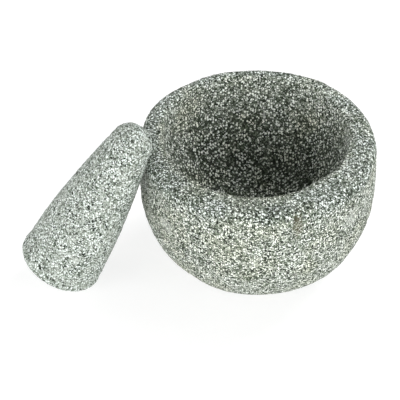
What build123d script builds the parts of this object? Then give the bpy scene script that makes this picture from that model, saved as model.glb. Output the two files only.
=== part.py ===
from build123d import *
import os

# A granite molcajete in millimetres: a footless round mortar (bowl) and a club-shaped pestle.
# Each piece is carved from one block of stone.
# The origin is the centre of the bowl's foot on the floor, +Z is up and -Y faces the person who uses it.

# Bowl, outside
BOWL_HEIGHT = 125.5
RIM_RADIUS = 99.8
BELLY_RADIUS = 101.5
BELLY_HEIGHT = 81.0
FOOT_RADIUS = 42.5
RIM_OUTER_ROUND = 7.0

# Bowl, inside: the hollow is half an egg, a little off the bowl's axis
HOLLOW_RADIUS = 79.0
HOLLOW_DEPTH = 86.0
HOLLOW_SHIFT_X = -1.5
HOLLOW_SHIFT_Y = 6.0
RIM_INNER_ROUND = 4.5

# Pestle, along its own axis from the wide end to the narrow end
PESTLE_LENGTH = 165.0
WIDE_RADIUS = 37.0
NARROW_RADIUS = 16.5
SIDE_SWELL = 3.4
WIDE_DOME = 3.0
NARROW_DOME = 2.5
WIDE_ROUND = 9.0
NARROW_ROUND = 6.0

# Pestle, where it leans: its wide end stands on the floor and its side rests on the bowl's rim
LEAN = 26.9
HEADING = 4.0
FOOT_X = -175.8
FOOT_Y = -36.7


def turned(outline, rounds):
    """The solid turned from a half outline about the Z axis, with some of its corners rounded."""
    face = make_face(outline)
    for corner, radius in rounds:
        face = fillet(face.vertices().sort_by_distance(corner)[0], radius)
    return revolve(Plane.XZ * face, axis=Axis.Z)


def bowl_outside():
    """The outer body: flat foot, quarter ellipse up to the belly, then a gentle arc to the rim."""
    rim = (RIM_RADIUS, BOWL_HEIGHT)
    foot = Line((0, 0), (FOOT_RADIUS, 0))
    flank = EllipticalCenterArc(
        (FOOT_RADIUS, BELLY_HEIGHT),
        BELLY_RADIUS - FOOT_RADIUS,
        BELLY_HEIGHT,
        start_angle=270,
        arc_size=90,
    )
    wall = TangentArc((BELLY_RADIUS, BELLY_HEIGHT), rim, tangent=(0, 1))
    top = Polyline(rim, (0, BOWL_HEIGHT), (0, 0))
    return turned([foot, flank, wall, top], [(rim, RIM_OUTER_ROUND)])


def bowl_hollow():
    """The hollow: the lower half of an egg-shaped solid, with its mouth at the rim."""
    mouth = (HOLLOW_RADIUS, BOWL_HEIGHT)
    bottom = (0, BOWL_HEIGHT - HOLLOW_DEPTH)
    wall = EllipticalCenterArc(
        (0, BOWL_HEIGHT),
        HOLLOW_RADIUS,
        HOLLOW_DEPTH,
        start_angle=270,
        arc_size=90,
    )
    top = Polyline(mouth, (0, BOWL_HEIGHT), bottom)
    return Pos(HOLLOW_SHIFT_X, HOLLOW_SHIFT_Y, 0) * turned([wall, top], [])


def make_bowl():
    """The bowl: the outer body less the hollow, with the hollow's mouth rounded."""
    bowl = bowl_outside() - bowl_hollow()
    mouth_edge = bowl.edges().filter_by(GeomType.CIRCLE).group_by(Axis.Z)[-1].sort_by(SortBy.RADIUS)[0]
    return fillet(mouth_edge, RIM_INNER_ROUND)


def upright_pestle():
    """The pestle on end: a cone with swelling sides and two shallow domed, rounded ends."""
    wide_corner = (WIDE_RADIUS, WIDE_DOME)
    narrow_corner = (NARROW_RADIUS, PESTLE_LENGTH - NARROW_DOME)
    middle = ((WIDE_RADIUS + NARROW_RADIUS) / 2 + SIDE_SWELL, PESTLE_LENGTH / 2)
    wide_end = TangentArc((0, 0), wide_corner, tangent=(1, 0))
    side = ThreePointArc(wide_corner, middle, narrow_corner)
    narrow_end = TangentArc((0, PESTLE_LENGTH), narrow_corner, tangent=(1, 0))
    centre = Line((0, PESTLE_LENGTH), (0, 0))
    rounds = [(wide_corner, WIDE_ROUND), (narrow_corner, NARROW_ROUND)]
    return turned([wide_end, side, narrow_end, centre], rounds)


def make_pestle():
    """The pestle leaning towards the bowl, lowered until it stands on the floor."""
    leaning = Pos(FOOT_X, FOOT_Y, 0) * Rot(Z=HEADING) * Rot(Y=LEAN) * upright_pestle()
    return Pos(0, 0, -leaning.bounding_box().min.Z) * leaning


nodes = {
    "bowl": make_bowl(),
    "pestle": make_pestle(),
}

os.makedirs("parts", exist_ok=True)
for name, piece in nodes.items():
    export_step(piece, f"parts/{name}.step")
    size = piece.bounding_box().size
    print(f"{name}: {piece.volume / 1000:.0f} cm3, {size.X:.1f} x {size.Y:.1f} x {size.Z:.1f} mm")

gap = nodes["bowl"].distance_to(nodes["pestle"])
print(f"gap between the pestle and the bowl's rim: {gap:.2f} mm")
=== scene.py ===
import math

import bpy
import numpy as np
from mathutils import Euler, Matrix, Vector, noise


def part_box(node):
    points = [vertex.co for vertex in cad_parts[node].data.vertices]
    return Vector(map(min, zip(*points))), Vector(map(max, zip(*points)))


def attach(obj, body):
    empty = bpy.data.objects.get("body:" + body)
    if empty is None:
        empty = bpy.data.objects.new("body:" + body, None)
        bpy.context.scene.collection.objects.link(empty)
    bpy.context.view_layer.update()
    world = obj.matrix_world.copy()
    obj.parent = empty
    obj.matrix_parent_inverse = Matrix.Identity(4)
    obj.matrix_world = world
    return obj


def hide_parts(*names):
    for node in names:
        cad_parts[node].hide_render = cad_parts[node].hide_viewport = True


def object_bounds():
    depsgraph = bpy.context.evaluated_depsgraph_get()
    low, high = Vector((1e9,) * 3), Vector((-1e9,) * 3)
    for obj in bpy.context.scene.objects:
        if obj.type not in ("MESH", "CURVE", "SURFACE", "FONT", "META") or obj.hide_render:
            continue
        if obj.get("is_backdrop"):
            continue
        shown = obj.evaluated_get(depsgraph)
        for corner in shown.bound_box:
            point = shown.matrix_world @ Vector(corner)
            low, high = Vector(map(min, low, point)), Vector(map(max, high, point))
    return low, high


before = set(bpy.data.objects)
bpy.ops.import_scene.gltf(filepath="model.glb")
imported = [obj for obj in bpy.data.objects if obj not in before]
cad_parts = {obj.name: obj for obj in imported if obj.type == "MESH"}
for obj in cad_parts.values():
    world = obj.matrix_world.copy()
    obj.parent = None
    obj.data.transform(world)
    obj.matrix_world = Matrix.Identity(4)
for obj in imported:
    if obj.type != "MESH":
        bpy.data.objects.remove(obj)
cad_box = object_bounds()

# A granite molcajete in metres: a round mortar (bowl) with a pestle leaning on its rim.

# Bowl: what the CAD box doesn't give
BELLY_HEIGHT = 0.081
RIM_NARROWING = 0.0017
FOOT_RADIUS = 0.0425
RIM_OUTER_ROUND = 0.0080
HOLLOW_RADIUS = 0.0785
HOLLOW_DEPTH = 0.0860
HOLLOW_SHIFT = (-0.0018, 0.0062)
RIM_INNER_ROUND = 0.0038

# Bowl: where it is carved fuller (+) or flatter (-) than a round body:
# azimuth and its width in degrees, share of the height and its width, push in metres.
# They set in above the foot, over the share of the height in BULGE_RISE.
BULGES = [
    (52, 20, 0.95, 0.40, 0.0035),
    (20, 18, 0.90, 0.40, 0.0012),
    (78, 14, 1.00, 0.35, 0.0016),
    (112, 18, 1.00, 0.35, 0.0030),
    (148, 20, 0.90, 0.40, 0.0040),
    (-44, 12, 0.25, 0.25, 0.0013),
    (-133, 14, 0.25, 0.25, -0.0008),
]
BULGE_RISE = (0.0, 0.15)

# Bowl: the flatter stretch of its inner lip, and the share of the height over which it comes in
FLAT_LIP_AZIMUTH = math.radians(-48)
FLAT_LIP_WIDTH = math.radians(13)
FLAT_LIP_PUSH = 0.0025
FLAT_LIP_RISE = (0.75, 1.0)

# Pestle: its shape along its own axis, and how it leans
PESTLE_LENGTH = 0.1650
WIDE_RADIUS = 0.0370
NARROW_RADIUS = 0.0165
SIDE_SWELL = 0.0034
WIDE_DOME = 0.0030
NARROW_DOME = 0.0025
WIDE_ROUND = 0.0062
NARROW_ROUND = 0.0060
DOME_SHARE = 0.4
LEAN = math.radians(26.9)
HEADING = math.radians(4.0)

# Pestle: its flatter side as (share of the length, share of the radius taken off), and that side's width
FLAT_SIDE = ((0.0, 0.0), (0.10, 0.05), (0.40, 0.05), (1.0, 0.17))
FLAT_SIDE_WIDTH = 1.0

# Hewn skin: waves as (push, wavelength, seed), broad swells first and then the pecked skin.
# The bowl's swells start above its flat foot, between two heights.
BOWL_SWELL = [(0.0009, 0.085, 1), (0.0006, 0.035, 2)]
BOWL_SKIN = [(0.00025, 0.0095, 3), (0.00030, 0.0048, 4), (0.00034, 0.0026, 5)]
PESTLE_SWELL = [(0.0006, 0.060, 6), (0.0003, 0.025, 7)]
PESTLE_SKIN = [(0.00022, 0.0085, 8), (0.00026, 0.0048, 9), (0.00030, 0.0026, 10)]
FOOT_FREE = (0.001, 0.012)
SEED_STEP = (17.3, -9.1, 4.7)

# Where the pestle touches the rim: on the bowl, and on the pestle along its own axis
CONTACT_ON_BOWL = (-0.095, -0.031, 0.120)
CONTACT_ON_PESTLE = (0.0215, 0.0, 0.130)
CONTACT_REACH = 0.018

# Meshes: points along a half section, and quads across each patch and along the pestle's straight part.
# The gap and the part for the pestle's sides are shares of the UV square. The rim's top is what lies within
# RIM_TOP_DEPTH of the bowl's height.
OUTLINE_POINTS = 4000
CURVE_POINTS = 200
WALL_POINTS = 40
BOWL_CELLS = 124
PESTLE_CELLS = 48
PESTLE_STRAIGHT_ROWS = 112
CHART_GAP = 0.004
PESTLE_SIDE_CHART = 0.8
RIM_TOP_DEPTH = 0.00005
TINY = 1e-9

# Granite: the crystals of the ground mass as (share, colour), and the rounded grains laid on it as
# (cell size, share of the cells on hewn stone, the same on worn stone that is also painted darker as shade,
# radius in cells, colour)
WHITE = (0.880, 0.920, 0.860)
PALE = (0.410, 0.440, 0.385)
MID = (0.237, 0.270, 0.219)
DARK = (0.080, 0.106, 0.070)
BLACK = (0.008, 0.014, 0.006)
CRYSTAL_SIZE = 0.0013
HEWN_CRYSTALS = [(0.20, BLACK), (0.25, DARK), (0.33, MID), (0.22, PALE)]
# Darker crystals for the bowl's rim and hollow: partly worn stone, partly painted shade.
WORN_AND_SHADED_CRYSTALS = [(0.56, BLACK), (0.24, DARK), (0.20, MID)]
PESTLE_CRYSTALS = [(0.10, BLACK), (0.13, DARK), (0.38, MID), (0.39, PALE)]
GRAINS = [
    (0.0011, 0.30, 0.12, 0.46, WHITE),
    (0.0014, 0.42, 0.42, 0.44, BLACK),
    (0.0018, 0.35, 0.20, 0.42, WHITE),
    (0.0024, 0.00, 0.40, 0.42, WHITE),
    (0.0028, 0.12, 0.05, 0.38, BLACK),
]
GRAIN_SHIFT = 0.037
CRYSTAL_BEND = 0.0003
BEND_SCALE = 900

# Granite: how much the rim and the hollow are painted darker, partly as worn stone and partly as painted
# shade: the rim by one amount, the hollow more and more from its mouth down to the depth where it is darkest.
# The hollow ends between the two HOLLOW_EDGE distances, in its own radii, and the rim begins between the two
# depths below the top.
# The rim's top is painted darker: partly worn stone, partly painted shade.
RIM_WEAR_AND_SHADE = 0.30
HOLLOW_WEAR_AND_SHADE = (0.35, 1.0)
WORN_AND_SHADED_DEPTH = 0.055
HOLLOW_EDGE = (1.03, 1.10)
RIM_DEPTHS = (0.013, 0.004)

# Granite: tints, dust, gloss and relief. Each stone starts at its own place in the pattern. A dust amount is
# the most that a dusty patch is mixed with the pale colour.
COOL = (0.975, 1.0, 1.035)
WARM = (1.03, 1.0, 0.88)
WARM_SCALE = 38
WARM_RAMP = [(0.45, 0.0), (0.70, 0.6)]
DUST_SCALE = 90
DUST_RANGE = (0.40, 0.75)
BOWL_DUST = 0.10
PESTLE_DUST = 0.40
BOWL_PATTERN_SHIFT = (0.31, 0.17, 0.05)
PESTLE_PATTERN_SHIFT = (0.83, 0.29, 0.61)
ROUGHNESS_RAMP = [(0.0, 0.55), (0.3, 0.75), (1.0, 0.9)]
STONE_SPECULAR = 0.3
FACET_TILT = 0.8
PORE_DEPTH = 0.0004
PORE_STRENGTH = 0.8

# Marks on the bowl as (centre, reach each way, colour, strength): an old brown trickle below the rim,
# two pale bruises on the wall and a scratch down the back of the hollow
BROWN = (0.130, 0.118, 0.066)
CHALK = (0.640, 0.670, 0.630)
MARKS = [
    ((0.029, -0.097, 0.114), (0.0050, 0.0140, 0.0170), BROWN, 0.50),
    ((0.0755, -0.067, 0.097), (0.0100, 0.0120, 0.0110), CHALK, 0.35),
    ((-0.078, -0.064, 0.086), (0.0080, 0.0100, 0.0100), CHALK, 0.35),
    ((0.0087, 0.0775, 0.0885), (0.0016, 0.0060, 0.0085), CHALK, 0.50),
]
MARK_EDGE = (0.8, 1.5)
MARK_RAG_SCALE = 300

# Camera
ELEVATION = math.radians(41.7)
CAMERA_DISTANCE = 1.241
LENS_MM = 126
SENSOR_MM = 36
AIM_SHARE = (0.507, 0.534, 0.304)

# Studio: low softboxes in front and at the left and a higher one behind at the right, in pale surroundings,
# over a table lit from below. Each softbox is (name, azimuth, elevation, side in metres, power in watts).
SOFTBOX_DISTANCE = 1.6
SOFTBOXES = [
    ("front_left", -55, 16, 0.7, 8.2),
    ("front", 0, 16, 0.7, 16.8),
    ("front_right", 55, 16, 0.7, 9.5),
    ("side_left", -110, 16, 0.7, 8.5),
    ("back_right", 130, 40, 0.9, 21.5),
]
TABLE_REACH = 15.0
TABLE_GREY = 0.35
TABLE_ROUGHNESS = 0.9
TABLE_GLOW = 0.70
WORLD_GLOW = 0.30


def arc(centre, radius, start_deg, end_deg, height_radius=None, points=60):
    """Points (r, z) along a circle or an upright ellipse, from one angle to another."""
    angles = np.radians(np.linspace(start_deg, end_deg, points))
    tall = radius if height_radius is None else height_radius
    return np.stack([centre[0] + radius * np.cos(angles), centre[1] + tall * np.sin(angles)], 1)


def resampled(outline):
    """The same outline with evenly spaced points."""
    outline = np.asarray(outline, float)
    steps = np.hypot(*np.diff(outline, axis=0).T)
    keep = np.concatenate([[True], steps > TINY])
    outline = outline[keep]
    length = np.concatenate([[0], np.cumsum(np.hypot(*np.diff(outline, axis=0).T))])
    even = np.linspace(0, length[-1], OUTLINE_POINTS)
    return np.stack([np.interp(even, length, outline[:, k]) for k in range(2)], 1)


def bowl_outline():
    """The bowl's half section (r, z), from the foot's centre over the rim to the hollow's bottom."""
    low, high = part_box("bowl")
    height = high.z
    belly = (high.x - low.x) / 2
    rim = belly - RIM_NARROWING
    foot = [(0, 0), (FOOT_RADIUS, 0)]
    flank = arc((FOOT_RADIUS, BELLY_HEIGHT), belly - FOOT_RADIUS, -90, 0, BELLY_HEIGHT, CURVE_POINTS)
    rise = np.linspace(0, 1, WALL_POINTS)
    wall_top = height - RIM_OUTER_ROUND
    wall_radius = belly - (belly - rim) * rise**2
    wall = np.stack([wall_radius, BELLY_HEIGHT + (wall_top - BELLY_HEIGHT) * rise], 1)
    outer_round = arc((rim - RIM_OUTER_ROUND, wall_top), RIM_OUTER_ROUND, 0, 90)
    inner_centre = (HOLLOW_RADIUS + RIM_INNER_ROUND, height - RIM_INNER_ROUND)
    inner_round = arc(inner_centre, RIM_INNER_ROUND, 90, 180)
    start = -math.degrees(math.asin(RIM_INNER_ROUND / HOLLOW_DEPTH))
    hollow = arc((0, height), HOLLOW_RADIUS, start, -90, HOLLOW_DEPTH, CURVE_POINTS)
    return resampled(np.concatenate([foot, flank, wall, outer_round, inner_round, hollow]))


def pestle_outline():
    """The pestle's half section (r, z), from the wide end's centre to the narrow end's centre."""
    side = np.linspace(0, 1, CURVE_POINTS)
    radius = WIDE_RADIUS + (NARROW_RADIUS - WIDE_RADIUS) * side + SIDE_SWELL * 4 * side * (1 - side)
    height = WIDE_DOME + (PESTLE_LENGTH - WIDE_DOME - NARROW_DOME) * side
    wide_top = WIDE_DOME + WIDE_ROUND
    narrow_start = PESTLE_LENGTH - NARROW_DOME - NARROW_ROUND
    middle = np.stack([radius, height], 1)[(height > wide_top) & (height < narrow_start)]
    wide_end = arc((WIDE_RADIUS - WIDE_ROUND, wide_top), WIDE_ROUND, -80, -3)
    narrow_end = arc((NARROW_RADIUS - NARROW_ROUND, narrow_start), NARROW_ROUND, 10, 80)
    wide_dome = [(0, 0), (WIDE_RADIUS * DOME_SHARE, WIDE_DOME * DOME_SHARE**2)]
    narrow_dome = [
        (NARROW_RADIUS * DOME_SHARE, PESTLE_LENGTH - NARROW_DOME * DOME_SHARE**2),
        (0, PESTLE_LENGTH),
    ]
    return resampled(np.concatenate([wide_dome, wide_end, middle, narrow_end, narrow_dome]))


def capsule_grid(cells, straight_rows):
    """Six square patches of points wrapped round a capsule of radius 1, and the capsule's half length.

    It is a cube blown up to a sphere. Its four side patches have extra straight rows about the waist,
    each as tall as a cell.
    """
    half_length = straight_rows * math.pi / cells / 4
    ticks = np.linspace(-1, 1, cells + 1)
    warped = np.tan(ticks * math.pi / 4)
    half = cells // 2
    side_b = np.concatenate([warped[:half], np.zeros(straight_rows), warped[half:]])
    side_lift = np.concatenate([
        np.full(half, -half_length),
        np.linspace(-half_length, half_length, straight_rows + 1)[:-1],
        np.full(cells + 1 - half, half_length),
    ])
    patches = []
    for quarter in range(4):
        a, b = np.meshgrid(warped, side_b)
        lift = np.repeat(side_lift[:, None], cells + 1, 1)
        points = np.stack([np.ones_like(a), a, b], -1)
        points /= np.linalg.norm(points, axis=-1, keepdims=True)
        turn = quarter * math.pi / 2
        x = points[..., 0] * math.cos(turn) - points[..., 1] * math.sin(turn)
        y = points[..., 0] * math.sin(turn) + points[..., 1] * math.cos(turn)
        patches.append(np.stack([x, y, points[..., 2] + lift], -1))
    for way in (-1, 1):
        a, b = np.meshgrid(warped * -way, warped)
        points = np.stack([-a, b, np.full_like(a, way)], -1)
        points /= np.linalg.norm(points, axis=-1, keepdims=True)
        points[..., 2] += way * half_length
        patches.append(points)
    return patches, 1 + half_length


def joined_patches(patches, charts):
    """The patches as one closed net: its corners, its quads, and a UV for each corner of each quad."""
    corners, quads, uvs = [], [], []
    start = 0
    for points, (u0, v0, u1, v1) in zip(patches, charts):
        rows, columns = points.shape[:2]
        index = start + np.arange(rows * columns).reshape(rows, columns)
        start += rows * columns
        around = [index[:-1, :-1], index[:-1, 1:], index[1:, 1:], index[1:, :-1]]
        u, v = np.meshgrid(np.linspace(u0, u1, columns), np.linspace(v0, v1, rows))
        corners.append(points.reshape(-1, 3))
        quads.append(np.stack(around, -1).reshape(-1, 4))
        uvs.append(np.stack([u, v], -1).reshape(-1, 2))
    corners = np.concatenate(corners)
    quads = np.concatenate(quads)
    uvs = np.concatenate(uvs)
    _, first, merged = np.unique(np.round(corners, 6), axis=0, return_index=True, return_inverse=True)
    return corners[first], merged.reshape(-1)[quads], uvs[quads].reshape(-1, 2)


def turned_points(corners, reach, outline):
    """The capsule's corners moved to a turned outline: points, normals, and how far along it each one is.

    The share of the surface before each point is the same on the capsule and on the stone.
    """
    share = (corners[:, 2] + reach) / (2 * reach)
    steps = np.hypot(*np.diff(outline, axis=0).T)
    middles = (outline[1:, 0] + outline[:-1, 0]) / 2
    area = np.concatenate([[0], np.cumsum(steps * middles)])
    ways = np.linspace(0, 1, len(outline))
    along = np.interp(share, area / area[-1], ways)
    radius, height = (np.interp(along, ways, outline[:, k]) for k in range(2))
    slope = np.gradient(outline, axis=0)
    slope /= np.linalg.norm(slope, axis=1, keepdims=True)
    out_r = np.interp(along, ways, slope[:, 1])
    out_z = np.interp(along, ways, -slope[:, 0])
    flat = np.hypot(corners[:, 0], corners[:, 1])
    flat[flat < TINY] = 1
    cos, sin = corners[:, 0] / flat, corners[:, 1] / flat
    points = np.stack([radius * cos, radius * sin, height], 1)
    normals = np.stack([out_r * cos, out_r * sin, out_z], 1)
    return points, normals, along


def stone_mesh(name, outline, cells, straight_rows, charts, shape):
    """A closed mesh turned from an outline, with even quads, then reshaped point by point."""
    patches, reach = capsule_grid(cells, straight_rows)
    corners, quads, uvs = joined_patches(patches, charts)
    points = shape(*turned_points(corners, reach, outline))
    mesh = bpy.data.meshes.new(name)
    mesh.from_pydata(points.tolist(), [], quads.tolist())
    layer = mesh.uv_layers.new(name="OFBake")
    layer.data.foreach_set("uv", uvs.astype(np.float32).ravel())
    mesh.shade_smooth()
    mesh.update()
    piece = bpy.data.objects.new(name, mesh)
    bpy.context.scene.collection.objects.link(piece)
    return piece


def waves(points, layers):
    """The sum of layers of smooth noise at each point, from (push, wavelength, seed)."""
    total = 0
    for push, wavelength, seed in layers:
        shift = Vector(SEED_STEP) * seed
        total = total + push * np.array([noise.noise(Vector(p) / wavelength + shift) for p in points])
    return total


def smoothstep(value, low, high):
    """0 up to the low value and 1 from the high one, with a smooth rise between."""
    t = np.clip((value - low) / (high - low), 0, 1)
    return t * t * (3 - 2 * t)


def turn_from(azimuth, centre):
    """How far each azimuth is from a centre, in radians, the short way round."""
    return (azimuth - centre + math.pi) % (2 * math.pi) - math.pi


def calmed(push, points, contact):
    """The push of each point, faded out near the contact so that the two stones don't cut into each other."""
    distance = np.linalg.norm(points - contact, axis=1)
    return push * (1 - np.exp(-((distance / CONTACT_REACH) ** 2)))


def bowl_shape(points, normals, along):
    """The turned bowl made hand-hewn: hollow off centre, bulging sides, uneven rim and pecked skin."""
    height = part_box("bowl")[1].z
    rim_top = along[points[:, 2] > height - RIM_TOP_DEPTH]
    inner = np.interp(along, (rim_top.min(), rim_top.max()), (0, 1))
    points = points + np.outer(inner, [*HOLLOW_SHIFT, 0])
    azimuth = np.arctan2(points[:, 1], points[:, 0])
    outward = np.stack([np.cos(azimuth), np.sin(azimuth), 0 * azimuth], 1)
    up = points[:, 2] / height

    bulge = np.zeros(len(points))
    for centre, width, level, level_width, push in BULGES:
        beside = turn_from(azimuth, math.radians(centre)) / math.radians(width)
        bulge += push * np.exp(-(beside**2) - ((up - level) / level_width) ** 2)
    bulge *= smoothstep(up, *BULGE_RISE)
    beside = turn_from(azimuth, FLAT_LIP_AZIMUTH) / FLAT_LIP_WIDTH
    bulge -= FLAT_LIP_PUSH * np.exp(-(beside**2)) * smoothstep(up, *FLAT_LIP_RISE) * inner
    points += outward * bulge[:, None]

    free = smoothstep(points[:, 2], *FOOT_FREE)
    hewing = waves(points, BOWL_SWELL) * free + waves(points, BOWL_SKIN)
    points += normals * calmed(hewing, points, CONTACT_ON_BOWL)[:, None]
    points[:, 2] = np.maximum(points[:, 2], 0)
    return points


def pestle_shape(points, normals, along):
    """The turned pestle with one flatter side, slightly uneven sides and a pecked skin."""
    azimuth = np.arctan2(points[:, 1], points[:, 0])
    flat = np.exp(-((turn_from(azimuth, math.pi) / FLAT_SIDE_WIDTH) ** 2))
    pinch = np.interp(points[:, 2] / PESTLE_LENGTH, *zip(*FLAT_SIDE))
    points[:, :2] *= (1 - flat * pinch)[:, None]
    hewing = waves(points, PESTLE_SWELL) + waves(points, PESTLE_SKIN)
    return points + normals * calmed(hewing, points, CONTACT_ON_PESTLE)[:, None]


def leaning_middle(outline, rotation):
    """The middle of the box round a turned outline once it leans, from every degree and every 20th point."""
    angles = np.radians(np.arange(361))[:, None]
    radius, height = outline[::20].T
    rings = np.stack([radius * np.cos(angles), radius * np.sin(angles), height + 0 * angles], -1)
    rings = rings.reshape(-1, 3) @ np.array(rotation).T
    return Vector((rings.max(0) + rings.min(0)) / 2)


def add(tree, kind, inputs=None, **settings):
    """A shader node with its settings and its inputs: a socket is linked, anything else is a value."""
    made = tree.nodes.new(kind)
    for key, value in settings.items():
        setattr(made, key, value)
    for key, value in (inputs or {}).items():
        if isinstance(value, bpy.types.NodeSocket):
            tree.links.new(value, made.inputs[key])
        else:
            made.inputs[key].default_value = value
    return made


def math_node(tree, operation, *values):
    """The result of a Math node on sockets or numbers."""
    return add(tree, "ShaderNodeMath", dict(enumerate(values)), operation=operation).outputs[0]


def vector_node(tree, operation, *values, output="Vector"):
    """The result of a Vector Math node on sockets or vectors."""
    return add(tree, "ShaderNodeVectorMath", dict(enumerate(values)), operation=operation).outputs[output]


def noise_node(tree, place, scale, detail):
    """A noise texture: the larger its scale, the smaller its blotches."""
    return add(tree, "ShaderNodeTexNoise", {"Vector": place, "Scale": scale, "Detail": detail})


def map_range(tree, value, source, target=(0.0, 1.0)):
    """The value carried over from one range to another, and held at the ends."""
    made = add(tree, "ShaderNodeMapRange", {
        "Value": value,
        "From Min": source[0],
        "From Max": source[1],
        "To Min": target[0],
        "To Max": target[1],
    })
    return made.outputs["Result"]


def ramp(tree, factor, stops, interpolation="LINEAR"):
    """A colour ramp from (position, grey or rgb) stops."""
    made = add(tree, "ShaderNodeValToRGB", {"Fac": factor})
    made.color_ramp.interpolation = interpolation
    elements = made.color_ramp.elements
    while len(elements) < len(stops):
        elements.new(0.5)
    for element, (position, colour) in zip(elements, stops):
        element.position = position
        rgb = colour if isinstance(colour, tuple) else (colour,) * 3
        element.color = (*rgb, 1)
    return made.outputs["Color"]


def palette_ramp(tree, factor, palette):
    """The colour that a random number picks from (share, colour) pairs."""
    starts = np.cumsum([0] + [share for share, colour in palette])
    stops = [(start, colour) for start, (share, colour) in zip(starts, palette)]
    return ramp(tree, factor, stops, "CONSTANT")


def mixed(tree, factor, first, second, blend_type="MIX"):
    """Two colours mixed by a factor. A Mix node's sockets 0, 6 and 7 are a factor and two colours."""
    made = add(tree, "ShaderNodeMix", data_type="RGBA", blend_type=blend_type)
    for number, value in ((0, factor), (6, first), (7, second)):
        if isinstance(value, bpy.types.NodeSocket):
            tree.links.new(value, made.inputs[number])
        else:
            made.inputs[number].default_value = (*value, 1) if isinstance(value, tuple) else value
    return made.outputs[2]


def height_of(tree, place):
    """The height of a place above the table."""
    return add(tree, "ShaderNodeSeparateXYZ", {"Vector": place}).outputs["Z"]


def oval_distance(tree, place, centre, reach):
    """How far a place is from a centre, where the reach along each axis counts as 1."""
    arm = vector_node(tree, "SUBTRACT", place, centre)
    arm = vector_node(tree, "DIVIDE", arm, reach)
    return vector_node(tree, "LENGTH", arm, output="Value")


def grain_mask(tree, place, size, share, radius, shift):
    """A mask of rounded grains: a share of the cells of one size holds one each."""
    moved = vector_node(tree, "ADD", place, (shift, -shift, shift))
    cells = add(tree, "ShaderNodeTexVoronoi", {"Vector": moved, "Scale": 1 / size})
    pick = add(tree, "ShaderNodeSeparateColor", {"Color": cells.outputs["Color"]}).outputs["Red"]
    chosen = math_node(tree, "LESS_THAN", pick, share)
    inside = math_node(tree, "LESS_THAN", cells.outputs["Distance"], radius)
    return math_node(tree, "MULTIPLY", chosen, inside)


def hollow_mask(tree, place):
    """1 on the wall of the bowl's hollow and 0 on the rim and outside."""
    centre = (*HOLLOW_SHIFT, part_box("bowl")[1].z)
    radii = (HOLLOW_RADIUS, HOLLOW_RADIUS, HOLLOW_DEPTH)
    return map_range(tree, oval_distance(tree, place, centre, radii), HOLLOW_EDGE, (1.0, 0.0))


def rim_mask(tree, place):
    """1 on the bowl's rim, and 0 on its outer wall and in its hollow."""
    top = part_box("bowl")[1].z
    high = map_range(tree, height_of(tree, place), (top - RIM_DEPTHS[0], top - RIM_DEPTHS[1]))
    outside = math_node(tree, "SUBTRACT", 1.0, hollow_mask(tree, place))
    return math_node(tree, "MULTIPLY", high, outside)


def hollow_wear_and_shade(tree, place):
    """How much darker the hollow is painted, partly as worn stone and partly as painted shade: more and more
    down its wall, and 0 outside it.
    """
    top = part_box("bowl")[1].z
    deep = map_range(tree, height_of(tree, place), (top - WORN_AND_SHADED_DEPTH, top), HOLLOW_WEAR_AND_SHADE[::-1])
    return math_node(tree, "MULTIPLY", deep, hollow_mask(tree, place))


def mark_mask(tree, place, centre, reach, strength):
    """A soft oval blot with a ragged edge."""
    distance = oval_distance(tree, place, centre, reach)
    ragged = noise_node(tree, place, MARK_RAG_SCALE, 2).outputs["Fac"]
    return map_range(tree, math_node(tree, "ADD", distance, ragged), MARK_EDGE, (strength, 0.0))


def bent_place(tree, place):
    """The place moved a little by fine noise, so that the crystals' edges aren't straight."""
    wobble = noise_node(tree, place, BEND_SCALE, 1).outputs["Color"]
    wobble = vector_node(tree, "SUBTRACT", wobble, (0.5, 0.5, 0.5))
    wobble = vector_node(tree, "MULTIPLY", wobble, (CRYSTAL_BEND, CRYSTAL_BEND, CRYSTAL_BEND))
    return vector_node(tree, "ADD", place, wobble)


def mineral_colour(tree, home, bent, pick, palette, worn_and_shaded):
    """The colours of the crystals and of the grains laid on them, cooler on the pestle and the bowl's rim."""
    colour = palette_ramp(tree, pick, palette)
    wear_and_shade, cool = 0.0, 1.0
    if worn_and_shaded:
        cool = rim_mask(tree, home)
        # The rim's painted shade, partly as wear.
        rim_wear_and_shade = math_node(tree, "MULTIPLY", cool, RIM_WEAR_AND_SHADE)
        wear_and_shade = math_node(tree, "MAXIMUM", rim_wear_and_shade, hollow_wear_and_shade(tree, home))
        # Painted shade: the rim and, more and more with depth, the hollow take the darker crystals, partly as
        # worn stone.
        colour = mixed(tree, wear_and_shade, colour, palette_ramp(tree, pick, WORN_AND_SHADED_CRYSTALS))
    # Fewer white grains where the stone is worn and painted darker as shade.
    for number, (size, hewn_share, worn_and_shaded_share, radius, tint) in enumerate(GRAINS, 1):
        share = math_node(tree, "MULTIPLY_ADD", wear_and_shade, worn_and_shaded_share - hewn_share, hewn_share)
        grains = grain_mask(tree, bent, size, share, radius, GRAIN_SHIFT * number)
        colour = mixed(tree, grains, colour, tint)
    return mixed(tree, cool, colour, COOL, "MULTIPLY")


def aged(tree, home, place, colour):
    """The bowl's colour with broad warm patches and its marks."""
    broad = noise_node(tree, place, WARM_SCALE, 3).outputs["Fac"]
    colour = mixed(tree, ramp(tree, broad, WARM_RAMP), colour, WARM, "MULTIPLY")
    for centre, reach, tint, strength in MARKS:
        colour = mixed(tree, mark_mask(tree, home, centre, reach, strength), colour, tint)
    return colour


def relief(tree, bent, crystals, brightness):
    """Each crystal is a small facet with its own tilt, and dark ones lie a little lower."""
    arm = vector_node(tree, "SUBTRACT", bent, crystals.outputs["Position"])
    tilt = vector_node(tree, "SUBTRACT", crystals.outputs["Color"], (0.5, 0.5, 0.5))
    facet = vector_node(tree, "DOT_PRODUCT", arm, tilt, output="Value")
    facets = add(tree, "ShaderNodeBump", {"Height": facet, "Distance": FACET_TILT, "Strength": 1.0})
    pores = add(tree, "ShaderNodeBump", {
        "Height": brightness,
        "Distance": PORE_DEPTH,
        "Strength": PORE_STRENGTH,
        "Normal": facets.outputs[0],
    })
    return pores.outputs[0]


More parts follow.
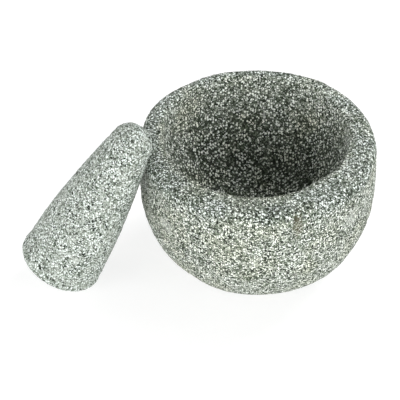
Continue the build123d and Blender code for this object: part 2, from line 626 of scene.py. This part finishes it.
def granite(name, shift, palette, dust_amount, worn_and_shaded=False):
    """Salt-and-pepper granite, hewn rough and dusty. The bowl is painted darker on its rim and in its hollow,
    partly as worn stone and partly as painted shade.
    """
    material = bpy.data.materials.new(name)
    material.use_nodes = True
    tree = material.node_tree
    shader = tree.nodes["Principled BSDF"]
    home = add(tree, "ShaderNodeTexCoord").outputs["Object"]
    place = vector_node(tree, "ADD", home, shift)
    bent = bent_place(tree, place)
    crystals = add(tree, "ShaderNodeTexVoronoi", {"Vector": bent, "Scale": 1 / CRYSTAL_SIZE})
    pick = add(tree, "ShaderNodeSeparateColor", {"Color": crystals.outputs["Color"]})

    colour = mineral_colour(tree, home, bent, pick.outputs["Red"], palette, worn_and_shaded)
    brightness = add(tree, "ShaderNodeRGBToBW", {"Color": colour}).outputs[0]
    cloud = noise_node(tree, place, DUST_SCALE, 4).outputs["Fac"]
    dusty = ramp(tree, cloud, [(DUST_RANGE[0], 0.0), (DUST_RANGE[1], dust_amount)])
    colour = mixed(tree, dusty, colour, PALE)
    if worn_and_shaded:
        colour = aged(tree, home, place, colour)

    tree.links.new(colour, shader.inputs["Base Color"])
    tree.links.new(ramp(tree, pick.outputs["Green"], ROUGHNESS_RAMP), shader.inputs["Roughness"])
    tree.links.new(relief(tree, bent, crystals, brightness), shader.inputs["Normal"])
    shader.inputs["Specular IOR Level"].default_value = STONE_SPECULAR
    return material


def table_white():
    """A pale table lit from below, so that shadows on it are faint."""
    material = bpy.data.materials.new("table_white")
    material.use_nodes = True
    shader = material.node_tree.nodes["Principled BSDF"]
    shader.inputs["Base Color"].default_value = (TABLE_GREY, TABLE_GREY, TABLE_GREY, 1)
    shader.inputs["Roughness"].default_value = TABLE_ROUGHNESS
    shader.inputs["Emission Color"].default_value = (1, 1, 1, 1)
    shader.inputs["Emission Strength"].default_value = TABLE_GLOW
    return material


def chart(u0, v0, u1, v1):
    """A rectangle of the UV square, drawn in a little so that its neighbours don't bleed into it."""
    return (u0 + CHART_GAP, v0 + CHART_GAP, u1 - CHART_GAP, v1 - CHART_GAP)


def make_bowl():
    """The bowl: a closed stone with an off-centre hollow, in place of the CAD bowl."""
    third, half = 1 / 3, 1 / 2
    cells = [(column * third, row * half) for row in (0, 1) for column in (0, 1, 2)]
    charts = [chart(u, v, u + third, v + half) for u, v in cells]
    bowl = stone_mesh("bowl_stone", bowl_outline(), BOWL_CELLS, 0, charts, bowl_shape)
    stone = granite("bowl_granite", BOWL_PATTERN_SHIFT, HEWN_CRYSTALS, BOWL_DUST, worn_and_shaded=True)
    bowl.data.materials.append(stone)
    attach(bowl, "bowl")
    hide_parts("bowl")


def make_pestle():
    """The pestle: made upright, then leaning, with its middle on that of the CAD pestle it replaces."""
    sides = [chart(k / 4, 0, (k + 1) / 4, PESTLE_SIDE_CHART) for k in range(4)]
    ends = [chart(k / 4, PESTLE_SIDE_CHART, (k + 1) / 4, 1) for k in range(2)]
    charts = sides + ends
    outline = pestle_outline()
    pestle = stone_mesh("pestle_stone", outline, PESTLE_CELLS, PESTLE_STRAIGHT_ROWS, charts, pestle_shape)
    rotation = Euler((0, 0, HEADING)).to_matrix() @ Euler((0, LEAN, 0)).to_matrix()
    pestle.data.transform(rotation.to_4x4())
    low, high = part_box("pestle")
    pestle.data.transform(Matrix.Translation((low + high) / 2 - leaning_middle(outline, rotation)))
    for vertex in pestle.data.vertices:
        vertex.co.z = max(vertex.co.z, 0)
    stone = granite("pestle_granite", PESTLE_PATTERN_SHIFT, PESTLE_CRYSTALS, PESTLE_DUST)
    pestle.data.materials.append(stone)
    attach(pestle, "pestle")
    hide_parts("pestle")


def make_floor():
    """The table's flat top, wide enough to reach the horizon in low views."""
    far = TABLE_REACH
    corners = [(-far, -far, 0), (far, -far, 0), (far, far, 0), (-far, far, 0)]
    mesh = bpy.data.meshes.new("floor")
    mesh.from_pydata(corners, [], [(0, 1, 2, 3)])
    floor = bpy.data.objects.new("floor", mesh)
    bpy.context.scene.collection.objects.link(floor)
    floor.data.materials.append(table_white())
    floor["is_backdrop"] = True


def softbox(name, azimuth_deg, elevation_deg, size, power):
    """A square area light that faces the object; azimuth 0 is the viewer's side and 90 is the right."""
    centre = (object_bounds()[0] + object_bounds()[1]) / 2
    azimuth, elevation = math.radians(azimuth_deg), math.radians(elevation_deg)
    away = Vector((
        math.sin(azimuth) * math.cos(elevation),
        -math.cos(azimuth) * math.cos(elevation),
        math.sin(elevation),
    ))
    light = bpy.data.lights.new(name, "AREA")
    light.shape = "SQUARE"
    light.size = size
    light.energy = power
    lamp = bpy.data.objects.new(name, light)
    lamp.location = centre + away * SOFTBOX_DISTANCE
    lamp.rotation_euler = away.to_track_quat("Z", "Y").to_euler()
    lamp.visible_camera = False
    bpy.context.scene.collection.objects.link(lamp)


def make_world(strength):
    """Even white light from all around."""
    world = bpy.data.worlds.new("studio")
    world.use_nodes = True
    background = world.node_tree.nodes["Background"]
    background.inputs["Color"].default_value = (1, 1, 1, 1)
    background.inputs["Strength"].default_value = strength
    bpy.context.scene.world = world


def make_camera():
    """A long lens straight in front, looking down at the object."""
    low, high = cad_box
    aim = Vector([low[k] + (high[k] - low[k]) * AIM_SHARE[k] for k in range(3)])
    camera = bpy.data.objects.new("camera", bpy.data.cameras.new("camera"))
    camera.data.lens = LENS_MM
    camera.data.sensor_width = SENSOR_MM
    camera.location = aim + Vector((0, -math.cos(ELEVATION), math.sin(ELEVATION))) * CAMERA_DISTANCE
    camera.rotation_euler = (math.pi / 2 - ELEVATION, 0, 0)
    bpy.context.scene.collection.objects.link(camera)
    bpy.context.scene.camera = camera


bpy.context.scene.view_settings.view_transform = "Standard"
bpy.context.scene.cycles.denoising_prefilter = "NONE"
make_camera()
make_bowl()
make_pestle()
make_floor()
for name, azimuth, elevation, size, power in SOFTBOXES:
    softbox(name, azimuth, elevation, size, power)
make_world(WORLD_GLOW)
